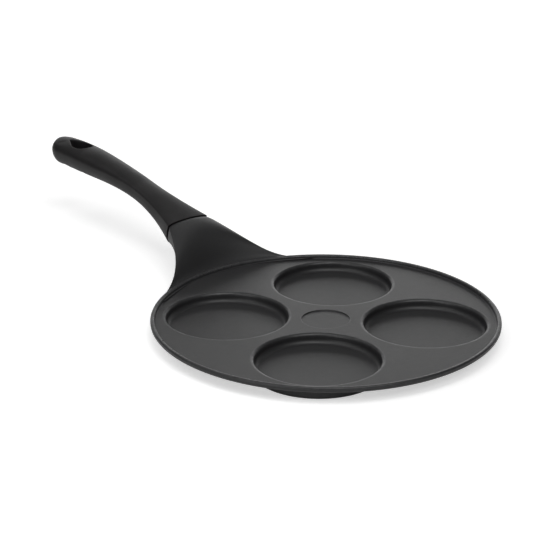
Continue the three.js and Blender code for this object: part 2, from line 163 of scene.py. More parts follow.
class PanSizes(PropertyGroup):
    """Sizes of the round casting with its cups."""

    diameter: length("Diameter", "Across the rim", 260)
    plate_level: length("Plate level", "Plate's upper face above the table", 10.5)
    plate_thickness: length("Plate thickness", "Metal between the cups", 2.6)
    rim_height: length("Rim height", "Rim bead above the plate", 2.8)
    rim_width: length("Rim width", "Across the rim bead", 3.4)
    rim_foot: length("Rim foot radius", "Fillet between plate and bead", 1.0)
    rim_edge: length("Rim edge radius", "Rounding of the bead's edges", 1.4)
    rim_under_width: length("Rim underside width", "Rounding under the rim, in plan", 6)
    rim_under_height: length("Rim underside height", "Rounding under the rim, in height", 3.4)
    medallion_diameter: length("Medallion diameter", "Plain round recess at the middle", 36)
    medallion_depth: length("Medallion depth", "Depth of the round recess", 0.8)
    cup_pitch: length("Cup pitch radius", "From the pan's middle to a cup's middle", 73.7)
    cup_diameter: length("Cup diameter", "Across a cup's wall", 90.4)
    cup_floor: length("Cup floor", "Thickness of a cup's floor", 3)
    cup_wall: length("Cup wall", "Thickness of a cup's wall", 2.8)
    cup_lip: length("Cup lip radius", "Rounding between plate and cup", 2.4)
    cup_corner: length("Cup corner radius", "Fillet between a cup's wall and floor", 3.5)
    cup_base: length("Cup base radius", "Rounding under a cup", 3)
    disc_diameter: length("Disc diameter", "Steel disc in a cup's base", 72)
    disc_thickness: length("Disc thickness", "Steel disc in a cup's base", 0.8)
    disc_gap: length("Disc gap", "Clearance round the disc and its pegs", 0.3)
    peg_diameter: length("Peg diameter", "Cast pegs through a disc", 6)
    peg_ring: length("Peg ring diameter", "Circle of the outer pegs", 46)


class HandleSizes(PropertyGroup):
    """Sizes of the cast neck and of the moulded grip."""

    seam_reach: length("Seam reach", "From the pan's middle to the seam", 172)
    seam_rise: length("Seam rise", "Seam's middle above the plate", 22)
    tilt: angle("Handle tilt", "Slope of the handle at the seam", 19.4)
    seam_width: length("Seam width", "Across the handle at the seam", 39.2)
    seam_corner: length("Seam corner level", "Corners above the seam's middle", 8.8)
    seam_crown: length("Seam crown", "Crown above the corners", 3.4)
    seam_depth: length("Seam depth", "Keel below the corners", 22.3)
    seam_edge: length("Seam edge", "Flat at the corners of the seam", 0.5)
    seam_fullness: share("Seam fullness", "Power of the seam's lower half", 0.28)
    root_angle: angle("Root angle", "Where the neck's edges leave the rim", 39)
    root_inset: length("Root inset", "Neck's start inside the rim", 0.4)
    seam_step: length("Seam step", "Neck inside the grip's outline at the seam", 0.35)
    edge_step: length("Edge step", "Neck's edges below the rim's top", 1.1)
    crest_step: length("Crest step", "Neck's crest below the rim's top", 1.4)
    root_edge: length("Root edge", "Neck's edge thickness at the rim", 1.2)
    edge_dip: share("Edge dip", "Fall of the edges by the rim", 0.13)
    edge_flare: share("Edge flare", "Spread of the edges by the seam", 0.4)
    edge_pull_rim: share("Edge pull at the rim", "Curve of the edges by the rim", 0.42)
    edge_pull_seam: share("Edge pull at the seam", "Curve of the edges by the seam", 0.58)
    crest_rise: angle("Crest rise", "Slope of the crest by the rim", 12)
    crest_pull_rim: share("Crest pull at the rim", "Curve of the crest by the rim", 0.22)
    crest_pull_seam: share("Crest pull at the seam", "Curve of the crest by the seam", 0.6)
    crest_slope: share("Crest slope", "Share of the grip's slope at the seam", 0.25)
    tang_width: length("Tang width", "Cast bar inside the grip", 15)
    tang_thickness: length("Tang thickness", "Cast bar inside the grip", 7.5)
    tang_length: length("Tang length", "Reach of the bar into the grip", 30)
    tang_level: length("Tang level", "Bar's middle above the seam's middle", 2.2)
    seam_gap: length("Seam gap", "Between the neck's end and the grip", 0.06)
    grip_gap: length("Grip gap", "Clearance round the tang and the screw", 0.3)
    grip_length: length("Grip length", "Along the grip's centre line", 183)
    bend_radius: length("Bend radius", "Bend of the grip's centre line", 459)
    waist_place: length("Waist place", "Waist's distance from the seam", 60)
    waist_ease: share("Waist ease", "How fast the grip narrows to its waist", 1.8)
    waist_width: length("Waist width", "Across the waist", 21.6)
    waist_corner: length("Waist corner level", "Waist's corners above the centre line", 6)
    waist_crown: length("Waist crown", "Crown above the waist's corners", 3.8)
    waist_depth: length("Waist depth", "Keel below the waist's corners", 13.1)
    waist_fullness: share("Waist fullness", "Power of the waist's lower half", 0.32)
    corner_fade: length("Corner fade", "Where the waist's corners have faded", 123)
    bulge_place: length("Bulge place", "Thickest part's distance from the seam", 145)
    bulge_width: length("Bulge width", "Across the thickest part", 29.8)
    bulge_corner: length("Bulge corner level", "Widest points above the centre line", 2.1)
    bulge_crown: length("Bulge crown", "Crown above the widest points", 8.7)
    bulge_depth: length("Bulge depth", "Keel below the widest points", 14.2)
    bulge_fullness: share("Bulge fullness", "Power of the bulge's lower half", 0.5)
    end_plan: length("End plan radius", "Rounding of the end, in plan", 17)
    end_edge: length("End edge radius", "Rounding of the end, in height", 8)
    end_height: share("End height share", "Height left at the very end", 0.6)
    slot_length: length("Slot length", "Hanging slot", 26)
    slot_width: length("Slot width", "Hanging slot", 15)
    slot_side: length("Slot side", "Straight sides before the slot tapers", 5)
    slot_tip: length("Slot tip radius", "Small end of the slot", 2.2)
    slot_end: length("Slot end distance", "From the slot to the grip's end", 19)
    slot_round: length("Slot rounding", "Rounding of the slot's edges", 1.2)
    screw_reach: length("Screw reach", "Screw's distance from the seam", 14)
    screw_diameter: length("Screw diameter", "Screw shank", 4.8)
    screw_length: length("Screw length", "Screw below its head", 11)
    head_diameter: length("Head diameter", "Screw head", 9.2)
    head_height: length("Head height", "Screw head", 2.7)
    drive_width: length("Drive width", "Across the head's cross recess", 4.4)
    drive_depth: length("Drive depth", "Depth of the head's cross recess", 1.3)
    bore_diameter: length("Counterbore diameter", "Recess for the screw head", 10.6)
    insert_diameter: length("Insert diameter", "Hole for the thread insert", 8.0)


class FinishColours(PropertyGroup):
    """Colours of the finishes, in linear values."""

    coating: colour("Coating", "Dark non-stick coating", (0.0175, 0.0175, 0.0182))
    # Pale coating tone for fine specks, and for lips and rim, where it is partly smoothing from use
    # and partly painted highlight
    burnish: colour("Burnish", "Coating rubbed smooth along lips and rim", (0.050, 0.050, 0.052))
    phenolic: colour("Phenolic", "Moulded grip", (0.0066, 0.0058, 0.0062))
    phenolic_rub: colour("Rubbed phenolic", "Grip polished by hands", (0.0098, 0.0088, 0.0092))
    disc_steel: colour("Disc steel", "Turned steel of the base discs", (0.56, 0.56, 0.57))
    fixing_steel: colour("Fixing steel", "Plated screw and washers", (0.50, 0.51, 0.52))
    heat_tint: colour("Heat tint", "Steel of the discs coloured by heat", (0.42, 0.36, 0.29))
    brass: colour("Brass", "Thread insert", (0.62, 0.42, 0.14))


class StageSettings(PropertyGroup):
    """Floor, light and camera."""

    floor_colour: colour("Floor", "Pale floor", (0.80, 0.80, 0.80))
    floor_lift: share("Floor lift", "Glow of the floor that the camera sees", 0.55)
    floor_far: share("Far floor lift", "Added glow where the panels' light fades", 0.45)
    floor_mirror: share("Floor in reflections", "Share of the glow that reflections show", 0.2)
    world_level: share("World level", "Light from the whole room", 0.08)
    panel_level: share("Panel level", "Brightness of all the panels together", 1.0)
    panel_distance: length("Panel distance", "From the panels to the object", 1800)
    camera_place: location("Camera place", "Where the camera stands", (-1.14067, 0.89293, 0.57376))
    camera_target: location("Camera target", "Picture's middle", (-0.017426, -0.028296, 0.010302))
    camera_lens: lens("Camera lens", "Focal length on a 36 mm sensor, for a square picture", 129.98)


class PanSettings(PropertyGroup):
    """Everything that a user would change."""

    pan: PointerProperty(name="Pan", description="Sizes of the casting", type=PanSizes)
    handle: PointerProperty(name="Handle", description="Sizes of neck and grip", type=HandleSizes)
    colours: PointerProperty(name="Colours", description="Finishes", type=FinishColours)
    stage: PointerProperty(name="Stage", description="Floor, light and camera", type=StageSettings)


# Shader nodes written as expressions


class Value:
    """Output socket of a node that can stand in a Python expression."""

    def __init__(self, graph, socket):
        self.graph = graph
        self.socket = socket

    def maths(self, operation, *terms):
        return self.graph.node("ShaderNodeMath", {"operation": operation}, dict(enumerate(terms)))

    def __add__(self, other):
        return self.maths("ADD", self, other)

    def __sub__(self, other):
        return self.maths("SUBTRACT", self, other)

    def __rsub__(self, other):
        return self.maths("SUBTRACT", other, self)

    def __mul__(self, other):
        return self.maths("MULTIPLY", self, other)

    __radd__ = __add__
    __rmul__ = __mul__

    def smooth(self, low, high):
        """0 below low, 1 above high, and a soft step between."""
        return self.graph.node(
            "ShaderNodeMapRange",
            {"interpolation_type": "SMOOTHSTEP"},
            {"Value": self, "From Min": low, "From Max": high},
        )

    def output(self, name):
        """Another output of the same node."""
        return Value(self.graph, self.socket.node.outputs[name])


class Graph:
    """Emptied node tree of a material or of the world."""

    def __init__(self, owner):
        owner.use_nodes = True
        self.owner = owner
        self.tree = owner.node_tree
        self.tree.nodes.clear()

    def node(self, kind, settings=None, inputs=None, output=0):
        """Adds a node: its settings first, then the values or links of its sockets."""
        node = self.tree.nodes.new(kind)
        for name, setting in (settings or {}).items():
            setattr(node, name, setting)
        for key, value in (inputs or {}).items():
            if isinstance(value, Value):
                self.tree.links.new(value.socket, node.inputs[key])
            else:
                node.inputs[key].default_value = value
        return Value(self, node.outputs[output]) if node.outputs else None

    def place(self):
        """Place on the object, in metres."""
        return self.node("ShaderNodeTexCoord").output("Object")

    def span(self, vector):
        """Length of a vector."""
        node = self.node("ShaderNodeVectorMath", {"operation": "LENGTH"}, {0: vector})
        return node.output("Value")

    def noise(self, where, scale, detail, roughness=0.5):
        """Noise from 0 to 1, with about scale grains to the metre."""
        sockets = {"Vector": where, "Scale": scale, "Detail": detail, "Roughness": roughness}
        return self.node("ShaderNodeTexNoise", {"noise_dimensions": "3D"}, sockets)

    def blend(self, factor, first, second):
        """Colour between two colours."""
        sockets = {0: factor, 6: first, 7: second}
        return self.node("ShaderNodeMix", {"data_type": "RGBA"}, sockets, 2)

    def bump(self, height, distance, strength):
        sockets = {"Strength": strength, "Distance": distance, "Height": height}
        return self.node("ShaderNodeBump", None, sockets)

    def surface(self, tone, rough, normal, **sockets):
        """Ends the tree in one Principled surface and returns the material."""
        sockets |= {"Base Color": tone, "Roughness": rough, "Normal": normal}
        shader = self.node("ShaderNodeBsdfPrincipled", None, sockets)
        self.node("ShaderNodeOutputMaterial", None, {"Surface": shader})
        return self.owner


def opaque(rgb, factor=1.0):
    return (*(channel * factor for channel in rgb), 1.0)


def coating_finish(colours):
    """Dark non-stick coating on cast metal: fine sprayed grain, lips and rim smoothed by use and
    lightened, the lightening partly a painted highlight.
    """
    graph = Graph(bpy.data.materials.new("coating"))
    where = graph.place()
    # Mask along lips and rim: it lowers the roughness there, and lightens the colour as painted
    # highlight
    wear_and_highlight = graph.node("ShaderNodeAttribute", {"attribute_name": "wear_and_highlight"}).output("Fac")
    grain = graph.noise(where, 1500, 3.0, 0.6)
    spray = graph.noise(where, 240, 2.0)
    cloud = graph.noise(where, 22, 3.0)
    flecks = graph.noise(where, 2600, 0.0).smooth(0.66, 0.74)
    # Mask broken up by the spray noise; the lightening along it is painted highlight, the smoothing
    # along it is real
    rubbed_and_highlit = wear_and_highlight * (0.35 + 0.65 * spray.smooth(0.35, 0.65))
    tone = graph.blend(cloud, opaque(colours.coating, 0.88), opaque(colours.coating, 1.12))
    tone = graph.blend(flecks * 0.35, tone, opaque(colours.burnish))
    # Painted highlight: lips and rim lightened towards the pale tone
    tone = graph.blend(rubbed_and_highlit * 0.6, tone, opaque(colours.burnish))
    rough = 0.40 + 0.07 * cloud + 0.05 * spray - 0.20 * rubbed_and_highlit
    height = grain * 0.7 + spray * 0.3
    return graph.surface(tone, rough, graph.bump(height, 0.00012, 0.5), IOR=1.48)


def phenolic_finish(colours):
    """Moulded black grip: fine matt texture, faint flow marks, polished a little by hands."""
    graph = Graph(bpy.data.materials.new("phenolic"))
    where = graph.place()
    along = graph.node("ShaderNodeMapping", None, {"Vector": where, "Scale": (0.12, 1.0, 1.0)})
    texture = graph.noise(where, 2200, 2.0, 0.6)
    flow = graph.noise(along, 160, 3.0)
    hands = graph.noise(where, 30, 2.0).smooth(0.4, 0.68)
    tone = graph.blend(hands, opaque(colours.phenolic), opaque(colours.phenolic_rub))
    tone = graph.blend(flow.smooth(0.3, 0.8) * 0.25, tone, opaque(colours.phenolic_rub))
    rough = 0.50 - 0.07 * hands + 0.05 * flow
    return graph.surface(tone, rough, graph.bump(texture, 0.0001, 0.4), IOR=1.41)


def disc_finish(colours):
    """Turned steel: fine rings about the disc's middle, a little heat tint."""
    graph = Graph(bpy.data.materials.new("disc_steel"))
    where = graph.node("ShaderNodeUVMap", {"uv_map": "disc"})
    rings = graph.node(
        "ShaderNodeTexNoise",
        {"noise_dimensions": "1D"},
        {"W": graph.span(where), "Scale": 3200, "Detail": 2.0, "Roughness": 0.6},
    )
    cloud = graph.noise(where, 55, 3.0)
    tone = graph.blend(rings, opaque(colours.disc_steel, 0.86), opaque(colours.disc_steel, 1.08))
    tone = graph.blend(cloud.smooth(0.45, 0.8) * 0.22, tone, opaque(colours.heat_tint))
    rough = 0.26 + 0.12 * rings + 0.08 * cloud
    return graph.surface(tone, rough, graph.bump(rings, 0.00004, 0.6), Metallic=1.0)


def plated_finish(name, rgb, rough_level):
    """Plated or turned small metal: slight clouding and fine tool marks."""
    graph = Graph(bpy.data.materials.new(name))
    where = graph.place()
    cloud = graph.noise(where, 420, 2.0)
    marks = graph.noise(where, 3800, 1.0)
    tone = graph.blend(cloud, opaque(rgb, 0.82), opaque(rgb, 1.1))
    rough = rough_level + 0.12 * cloud
    return graph.surface(tone, rough, graph.bump(marks, 0.00003, 0.5), Metallic=1.0)


# Mesh helpers


def mix(first, second, part):
    return first + (second - first) * part


def smoothstep(low, high, value):
    part = min(1.0, max(0.0, (value - low) / (high - low)))
    return part * part * (3 - 2 * part)


def arc(x, z, radius, start, end, steps, height=None, wear_and_highlight=0.0):
    """Profile points (radius, level, wear) on an arc, in degrees from +X towards +Z."""
    height = radius if height is None else height
    points = []
    for i in range(steps + 1):
        turned = math.radians(mix(start, end, i / steps))
        points.append((x + radius * math.cos(turned), z + height * math.sin(turned), wear_and_highlight))
    return points


def placed(context, name, data):
    """New object of some data, linked to the scene."""
    obj = bpy.data.objects.new(name, data)
    context.collection.objects.link(obj)
    return obj


def mesh_of(bm, name):
    """Turns a bmesh into a mesh and frees it."""
    mesh = bpy.data.meshes.new(name)
    bm.to_mesh(mesh)
    bm.free()
    return mesh


def add_mesh(bm, mesh, places=((0.0, 0.0),)):
    """Adds a mesh to a bmesh at each place, then removes the mesh."""
    for place in places:
        step = Matrix.Translation((*place, 0.0))
        mesh.transform(step)
        bm.from_mesh(mesh)
        mesh.transform(step.inverted())
    bpy.data.meshes.remove(mesh)


def spun(points, steps):
    """Spins a profile of (radius, level, wear) points about the upright axis."""
    bm = bmesh.new()
    wear_and_highlight = bm.verts.layers.float.new("wear_and_highlight")
    verts = []
    for radius, level, worn_and_highlit in points:
        vert = bm.verts.new((radius, 0.0, level))
        vert[wear_and_highlight] = worn_and_highlit
        verts.append(vert)
    edges = [bm.edges.new(pair) for pair in zip(verts, verts[1:])]
    bmesh.ops.spin(
        bm, geom=verts + edges, axis=(0, 0, 1), angle=math.tau, steps=steps, use_merge=True
    )
    close(bm)
    return mesh_of(bm, "spun")


def fill_level(bm, level):
    """Fills the flat region between the open loops at a level."""
    loops = [
        edge
        for edge in bm.edges
        if edge.is_boundary and all(abs(vert.co.z - level) < MERGE for vert in edge.verts)
    ]
    bmesh.ops.triangle_fill(bm, edges=loops, use_beauty=True, normal=(0, 0, 1))


def close(bm):
    """Merges doubles and points the faces outwards."""
    bmesh.ops.remove_doubles(bm, verts=bm.verts, dist=MERGE)
    bmesh.ops.recalc_face_normals(bm, faces=bm.faces)


def only(items, kind):
    """Items of one kind, such as vertices."""
    return [item for item in items if isinstance(item, kind)]


def move(bm, x, z=0):
    """Moves a whole bmesh along X and upwards."""
    bmesh.ops.translate(bm, vec=(x, 0, z), verts=bm.verts)


def bevel(bm, edges, offset, segments):
    """Rounds some edges."""
    bmesh.ops.bevel(
        bm, geom=edges, offset=offset, affect="EDGES", segments=segments, profile=0.5, material=-1
    )


def drag(bm, edges, place):
    """Extrudes open edges and puts each new vertex where place says, then returns the new edges."""
    made = bmesh.ops.extrude_edge_only(bm, edges=edges)["geom"]
    fresh = set(only(made, bmesh.types.BMVert))
    for vert in fresh:
        vert.co = place(vert)
    return [edge for edge in only(made, bmesh.types.BMEdge) if fresh.issuperset(edge.verts)]


def loft(bm, sections, cap_start=True):
    """Drags a loop through sections of equally many points, caps its ends and merges doubles."""
    order = bm.verts.layers.int.new("order")
    station = bm.verts.layers.int.new("station")
    loop = bmesh.ops.create_circle(bm, segments=len(sections[0]), radius=1.0)["verts"]
    for i, vert in enumerate(loop):
        vert[order] = i
        vert.co = sections[0][i]
    first = list({edge for vert in loop for edge in vert.link_edges})
    edges = first
    for i, section in enumerate(sections[1:], 1):
        edges = drag(bm, edges, lambda vert: section[vert[order]])
        for edge in edges:
            for vert in edge.verts:
                vert[station] = i
    for end in (first, edges) if cap_start else (edges,):
        bmesh.ops.contextual_create(bm, geom=end)
    close(bm)


def bar(width, thickness, radius, level, start, end):
    """Bar along +X with rounded long edges, centred on a level."""
    bm = bmesh.new()
    bmesh.ops.create_cube(bm, size=1.0)
    bmesh.ops.scale(bm, vec=(end - start, width, thickness), verts=bm.verts)
    move(bm, (start + end) / 2, level)
    long = [edge for edge in bm.edges if abs(edge.verts[0].co.x - edge.verts[1].co.x) > MERGE]
    bevel(bm, long, radius, segments=4)
    return bm


def rod(radius, bottom, top, x, steps=HOLE_STEPS):
    """Upright cylinder at a distance along +X."""
    bm = bmesh.new()
    bmesh.ops.create_cone(
        bm, cap_ends=True, segments=steps, radius1=radius, radius2=radius, depth=top - bottom
    )
    move(bm, x, (top + bottom) / 2)
    return bm


def shaped(context, blank, levels=0, cutters=()):
    """Mesh of a blank after subdivision and cutting. Uses up the bmeshes."""
    made = []

    def loose(source):
        made.append(placed(context, "blank", mesh_of(source, "blank")))
        return made[-1]

    body = loose(blank)
    if levels:
        soften = body.modifiers.new("soften", "SUBSURF")
        soften.levels = levels
        soften.render_levels = levels
    for cutter in cutters:
        cut = body.modifiers.new("cut", "BOOLEAN")
        cut.operation = "DIFFERENCE"
        cut.solver = "EXACT"
        cut.object = loose(cutter)
    context.view_layer.update()
    graph = context.evaluated_depsgraph_get()
    result = bpy.data.meshes.new_from_object(body.evaluated_get(graph))
    for obj in made:
        mesh = obj.data
        bpy.data.objects.remove(obj)
        bpy.data.meshes.remove(mesh)
    return result


def show(context, name, mesh, finish, node):
    """Puts a finished mesh in the scene in place of its CAD node."""
    mesh.name = name
    mesh.materials.clear()
    mesh.materials.append(finish)
    mesh.shade_smooth()
    mesh.set_sharp_from_angle(angle=SHARP_ANGLE)
    piece = placed(context, name, mesh)
    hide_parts(node)
    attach(piece, "root")


def pan_offset(pan):
    """Place of the pan's middle along the frame's X axis."""
    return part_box("pan_body")[0][0] + pan.diameter / 2


def seam_frame(pan, handle):
    """Frame of the seam, from the pan's middle: +X runs up along the handle."""
    place = Matrix.Translation((handle.seam_reach, 0, pan.plate_level + handle.seam_rise))
    return place @ Matrix.Rotation(-handle.tilt, 4, "Y")


def handle_place(pan, handle):
    """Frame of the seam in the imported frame."""
    return Matrix.Translation((pan_offset(pan), 0, 0)) @ seam_frame(pan, handle)


def cup_places(pan):
    """Middle of each cup, from the pan's middle."""
    return {
        name: Vector((pan.cup_pitch * math.cos(turned), pan.cup_pitch * math.sin(turned)))
        for name, turned in CUP_ANGLES.items()
    }


def peg_places(pan, centre):
    """Middle of each peg under a cup: one at the centre and the others round it."""
    places = [Vector(centre)]
    for i in range(PEGS_ROUND):
        turned = i * math.tau / PEGS_ROUND
        way = Vector((math.cos(turned), math.sin(turned)))
        places.append(Vector(centre) + pan.peg_ring / 2 * way)
    return places


# Casting


def rim_profile(pan):
    """From the plate's upper face over the rim bead to the plate's underside."""
    radius = pan.diameter / 2
    top = pan.plate_level + pan.rim_height
    under = pan.plate_level - pan.plate_thickness
    wall = radius - pan.rim_width
    edge = pan.rim_edge
    skirt = radius - pan.rim_under_width
    lift = pan.rim_under_height
    return [
        (wall - pan.rim_foot - STRIP, pan.plate_level, 0.0),
        *arc(wall - pan.rim_foot, pan.plate_level + pan.rim_foot, pan.rim_foot, -90, 0, 8),
        # Bead edges: the mask smooths them and paints a highlight on them
        *arc(wall + edge, top - edge, edge, 180, 90, 7, wear_and_highlight=1.0),
        *arc(radius - edge, top - edge, edge, 90, 0, 7, wear_and_highlight=0.6),
        *arc(skirt, under + lift, pan.rim_under_width, 0, -90, 14, lift),
        (skirt - SMALL_EDGE, under, 0.0),
    ]


def cup_profile(pan):
    """From the plate's upper face over the lip to the middle of the cup's floor."""
    radius = pan.cup_diameter / 2
    corner = pan.cup_corner
    lip = pan.cup_lip
    return [
        (radius + lip + STRIP, pan.plate_level, 0.0),
        # Lip: the mask smooths it and paints a highlight on it
        *arc(radius + lip, pan.plate_level - lip, lip, 90, 180, 10, wear_and_highlight=0.6),
        *arc(radius - corner, pan.cup_floor + corner, corner, 0, -90, 10),
        (radius - corner - STRIP, pan.cup_floor, 0.0),
        (radius / 2, pan.cup_floor, 0.0),
        (0.0, pan.cup_floor, 0.0),
    ]


def cup_underside(pan):
    """From the plate's underside down the cup's outside to the middle of the disc's seat."""
    outer = pan.cup_diameter / 2 + pan.cup_wall
    under = pan.plate_level - pan.plate_thickness
    seat = pan.disc_diameter / 2 + pan.disc_gap
    return [
        (outer + 1.2 * PLATE_FILLET, under, 0.0),
        *arc(outer + PLATE_FILLET, under - PLATE_FILLET, PLATE_FILLET, 90, 180, 5),
        *arc(outer - pan.cup_base, pan.cup_base, pan.cup_base, 0, -90, 9, wear_and_highlight=0.3),
        (seat + 2 * SMALL_EDGE, 0.0, 0.2),
        *arc(seat + SMALL_EDGE, SMALL_EDGE, SMALL_EDGE, 270, 180, 3, wear_and_highlight=0.4),
        (seat, pan.disc_thickness, 0.0),
        (seat / 2, pan.disc_thickness, 0.0),
        (0.0, pan.disc_thickness, 0.0),
    ]


def medallion_profile(pan):
    """Plain round recess at the middle of the plate."""
    radius = pan.medallion_diameter / 2
    floor = pan.plate_level - pan.medallion_depth
    soft = pan.medallion_depth / 2
    return [
        (radius + 2 * soft, pan.plate_level, 0.0),
        # Recess edge: the mask smooths it and paints a highlight on it
        *arc(radius + soft, pan.plate_level - soft, soft, 90, 180, 5, wear_and_highlight=0.5),
        *arc(radius - soft, floor + soft, soft, 0, -90, 5),
        (radius - 2 * soft, floor, 0.0),
        (0.0, floor, 0.0),
    ]


def peg_profile(pan):
    """Cast peg from just inside the disc's seat to the table."""
    radius = pan.peg_diameter / 2
    root = pan.disc_thickness + PEG_SINK
    return [
        (0.0, root, 0.0),
        (radius, root, 0.0),
        *arc(radius - SMALL_EDGE, SMALL_EDGE, SMALL_EDGE, 0, -90, 3, wear_and_highlight=0.4),
        (0.0, 0.0, 0.3),
    ]


def eased_turn(part, power):
    """Half turn whose ends are drawn out where the curve's power makes it steep there."""
    ease = max(1.0, 0.5 / power)
    end = min(part, 1 - part) * 2
    eased = 0.5 * end**ease
    return math.pi * (eased if part < 0.5 else 1 - eased)


def neck_section(handle, t, edge, crest, keel):
    """Loop at share t of the neck: an upper and a lower curve between its two edges."""
    band = mix(handle.root_edge, handle.seam_edge, t)
    keel_powers = (KEEL_RIM_POWER, handle.seam_fullness)
    upper = (1, crest, edge.z, CREST_POWERS, CREST_DELAY)
    lower = (-1, keel, edge.z - band, keel_powers, KEEL_DELAY)
    loop = []
    for side, target, level, powers, delay in (upper, lower):
        power = mix(*powers, t**delay)
        for i in range(NECK_STEPS + 1):
            across = side * math.cos(eased_turn(i / NECK_STEPS, power))
            room = max(0.0, 1 - across * across)
            x = mix(edge.x, target.x, room ** mix(*powers, t**REACH_DELAY))
            loop.append(Vector((x, across * edge.y, mix(level, target.z, room**power))))
    return loop


def swept(start, start_way, start_pull, end, end_way, end_pull):
    """Points along the neck on a cubic curve that leaves each end in a given direction."""
    span = (end - start).length
    leave = start + start_way.normalized() * start_pull * span
    arrive = end + end_way.normalized() * end_pull * span
    return interpolate_bezier(start, leave, arrive, end, NECK_RINGS)


def neck_cage(pan, handle):
    """Flared neck from inside the rim bead to the seam."""
    seam = seam_frame(pan, handle)
    root = pan.diameter / 2 - handle.root_inset
    rim_top = pan.plate_level + pan.rim_height
    step = handle.seam_step
    sine, cosine = math.sin(handle.root_angle), math.cos(handle.root_angle)
    down = seam.to_3x3() @ Vector((-1, 0, 0))
    edges = swept(
        Vector((root * cosine, root * sine, rim_top - handle.edge_step)),
        Vector((sine, -cosine, -handle.edge_dip)),
        handle.edge_pull_rim,
        seam @ Vector((0, handle.seam_width / 2 - step, handle.seam_corner - step)),
        Vector((down.x, handle.edge_flare, down.z)),
        handle.edge_pull_seam,
    )
    crest = swept(
        Vector((root, 0, rim_top - handle.crest_step)),
        Vector((math.cos(handle.crest_rise), 0, math.sin(handle.crest_rise))),
        handle.crest_pull_rim,
        seam @ Vector((0, 0, handle.seam_corner + handle.seam_crown - step)),
        Vector((down.x, 0, handle.crest_slope * down.z)),
        handle.crest_pull_seam,
    )
    keel_start = Vector((root, 0, pan.plate_level - handle.crest_step))
    keel_end = seam @ Vector((0, 0, handle.seam_corner - handle.seam_depth + step))
    sections = []
    for i in range(NECK_RINGS):
        t = i / (NECK_RINGS - 1)
        sections.append(neck_section(handle, t, edges[i], crest[i], keel_start.lerp(keel_end, t)))
    inside = [Vector((p.x * NECK_ROOT, p.y * NECK_ROOT, p.z)) for p in sections[0]]
    spine = [Vector((p.x, p.y, (p.z + q.z) / 2)) for p, q in zip(inside, reversed(inside))]
    middle = seam.to_translation()
    last = sections.pop()
    rounded = [
        [p.lerp(q, back).lerp(middle, inward) for p, q in zip(last, sections[-1])]
        for back, inward in NECK_END
    ]
    bm = bmesh.new()
    loft(bm, [spine, inside, *sections, *rounded], cap_start=False)
    return bm


class FOURCUP_OT_pan_casting(Operator):
    """Models the casting: plate, rim, cups, neck and tang"""

    bl_idname = "four_cup_pan.pan_casting"
    bl_label = "Pan casting"

    def execute(self, context):
        settings = context.scene.four_cup_pan
        pan, handle = settings.pan, settings.handle
        cups = cup_places(pan).values()
        bm = bmesh.new()
        add_mesh(bm, spun(rim_profile(pan), RIM_STEPS))
        add_mesh(bm, spun(medallion_profile(pan), RECESS_STEPS))
        add_mesh(bm, spun(cup_profile(pan), CUP_STEPS), cups)
        add_mesh(bm, spun(cup_underside(pan), CUP_STEPS), cups)
        fill_level(bm, pan.plate_level)
        fill_level(bm, pan.plate_level - pan.plate_thickness)
        close(bm)
        for centre in cups:
            add_mesh(bm, spun(peg_profile(pan), PEG_STEPS), peg_places(pan, centre))
        add_mesh(bm, shaped(context, neck_cage(pan, handle), levels=2))
        level, thickness = handle.tang_level, handle.tang_thickness
        tang = bar(handle.tang_width, thickness, TANG_EDGE, level, -TANG_ROOT, handle.tang_length)
        hole = rod(
            handle.insert_diameter / 2, level - thickness, level + thickness, handle.screw_reach
        )
        tang = shaped(context, tang, cutters=[hole])
        tang.transform(seam_frame(pan, handle))
        add_mesh(bm, tang)
        move(bm, pan_offset(pan))
        mesh = mesh_of(bm, "pan_casting")
        finish = coating_finish(settings.colours)
        show(context, "pan_casting", mesh, finish, "pan_body")
        return {"FINISHED"}


# Grip


def grip_size(handle, distance):
    """Half width, heights above and below the centre line, corner level and lower power."""
    sections = {}
    for name in ("seam", "waist", "bulge"):
        width, corner, crown, depth, power = (
            getattr(handle, f"{name}_{size}")
            for size in ("width", "corner", "crown", "depth", "fullness")
        )
        sections[name] = (width / 2, corner + crown, depth - corner, corner, power)
    if distance < handle.waist_place:
        part = 1 - (1 - distance / handle.waist_place) ** handle.waist_ease
        return [mix(a, b, part) for a, b in zip(sections["seam"], sections["waist"])]
    swell = smoothstep(handle.waist_place, handle.bulge_place, distance)
    fade = smoothstep(handle.waist_place, handle.corner_fade, distance)
    parts = (swell, swell, swell, fade, fade)
    return [mix(a, b, part) for a, b, part in zip(sections["waist"], sections["bulge"], parts)]


def rounding(handle, distance, length_left):
    """Share of the full size that a rounded end leaves at a distance along the grip."""
    into = min(1.0, max(0.0, distance - handle.grip_length + length_left) / length_left)
    return math.sqrt(1 - into * into)


def on_grip(handle, distance, side, height):
    """Point along the grip's bent centre line, moved sideways and square to it."""
    turned = distance / handle.bend_radius
    radius = handle.bend_radius + height
    return Vector((radius * math.sin(turned), side, radius * math.cos(turned) - handle.bend_radius))


def end_shares(handle, distance):
    """Shares of width and height that the rounded end leaves at a distance along the grip."""
    low = mix(handle.end_height, 1, rounding(handle, distance, handle.end_edge))
    return rounding(handle, distance, handle.end_plan), low


def grip_point(handle, distance, place):
    """Numbered point round the grip's section."""
    half, above, below, corner, power = grip_size(handle, distance)
    narrow, low = end_shares(handle, distance)
    if 2 * place <= GRIP_STEPS:
        turned = math.tau * place / GRIP_STEPS
        height = corner + (above - corner) * math.sin(turned)
        across = math.cos(turned)
    else:
        turned = eased_turn(2 * place / GRIP_STEPS - 1, power)
        height = corner - (below + corner) * math.sin(turned) ** (2 * power)
        across = -math.cos(turned)
    return on_grip(handle, distance, narrow * half * across, low * height)


